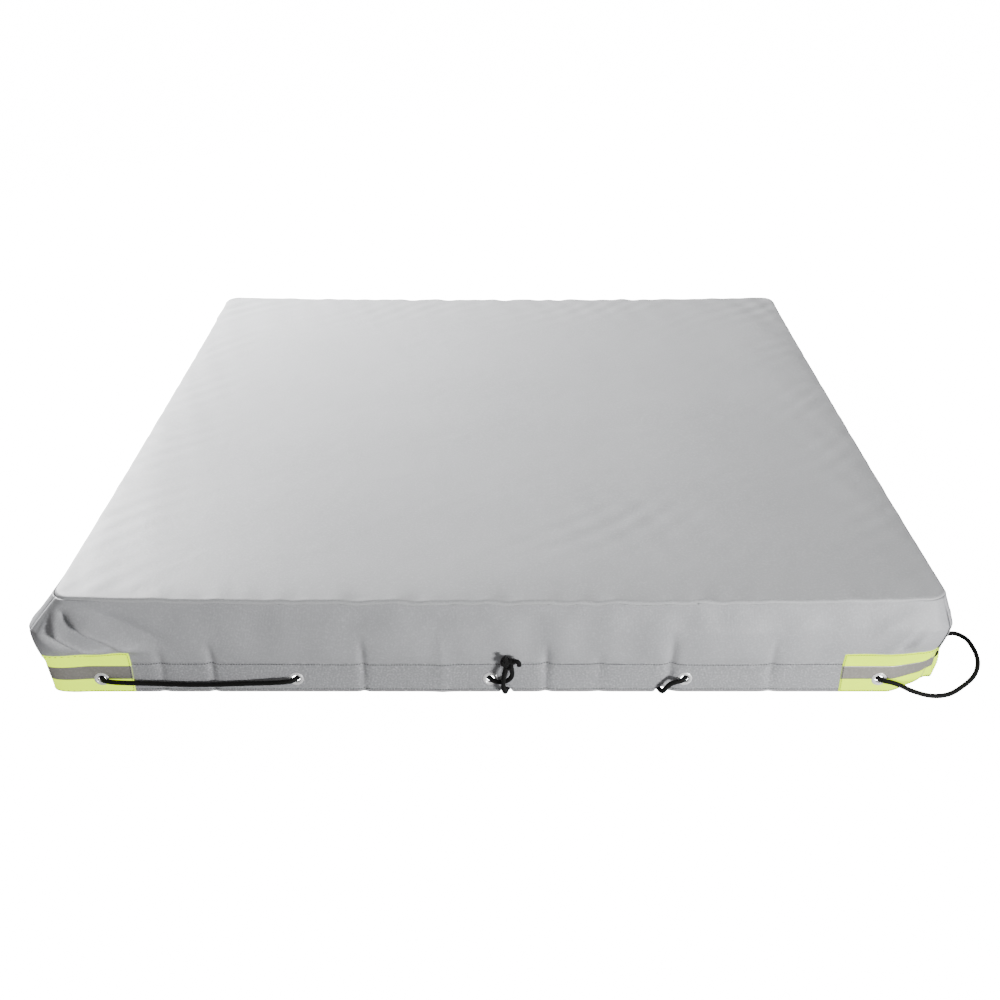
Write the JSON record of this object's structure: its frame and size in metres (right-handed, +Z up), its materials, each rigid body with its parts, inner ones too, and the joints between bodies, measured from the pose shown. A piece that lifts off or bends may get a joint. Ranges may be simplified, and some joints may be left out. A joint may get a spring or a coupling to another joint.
{
  "type": "spa cover",
  "caption": "Square soft cover for a spa: flat top, skirt and doubled hem in grey coated cloth, reflective corner tapes, and an elastic cord laced through eyelets.",
  "frame": {"origin": "middle of the cover's plan, on the surface that its hem stands on", "axes": "+Z up; the front, with the cord's knot, faces -Y; +X to the right as seen from the front"},
  "size_m": [1.9584, 1.8484, 0.236],
  "materials": {
    "cover_cloth": "satin coated plain weave",
    "hem_cloth": "satin coated plain weave, doubled",
    "yellow_tape": "fluorescent knitted polyester",
    "silver_strip": "retroreflective glass-bead cloth",
    "nickel_eyelet": "nickel plated brass",
    "elastic_cord": "braided polyester sheath",
    "sewing_thread": "twisted polyester"
  },
  "bodies": {
    "root": {"top_panel": "cover_cloth", "front_skirt": "cover_cloth", "right_skirt": "cover_cloth", "back_skirt": "cover_cloth", "left_skirt": "cover_cloth", "front_hem": "hem_cloth", "right_hem": "hem_cloth", "back_hem": "hem_cloth", "left_hem": "hem_cloth", "front_left_tape": "yellow_tape", "front_right_tape": "yellow_tape", "back_right_tape": "yellow_tape", "back_left_tape": "yellow_tape", "front_left_strip": "silver_strip", "front_right_strip": "silver_strip", "back_right_strip": "silver_strip", "back_left_strip": "silver_strip", "front_eyelets": "nickel_eyelet", "right_eyelets": "nickel_eyelet", "back_eyelets": "nickel_eyelet", "left_eyelets": "nickel_eyelet", "front_washers": "nickel_eyelet", "right_washers": "nickel_eyelet", "back_washers": "nickel_eyelet", "left_washers": "nickel_eyelet", "lacing_cord": "elastic_cord", "cord_knot": "elastic_cord"}
  },
  "joints": []
}
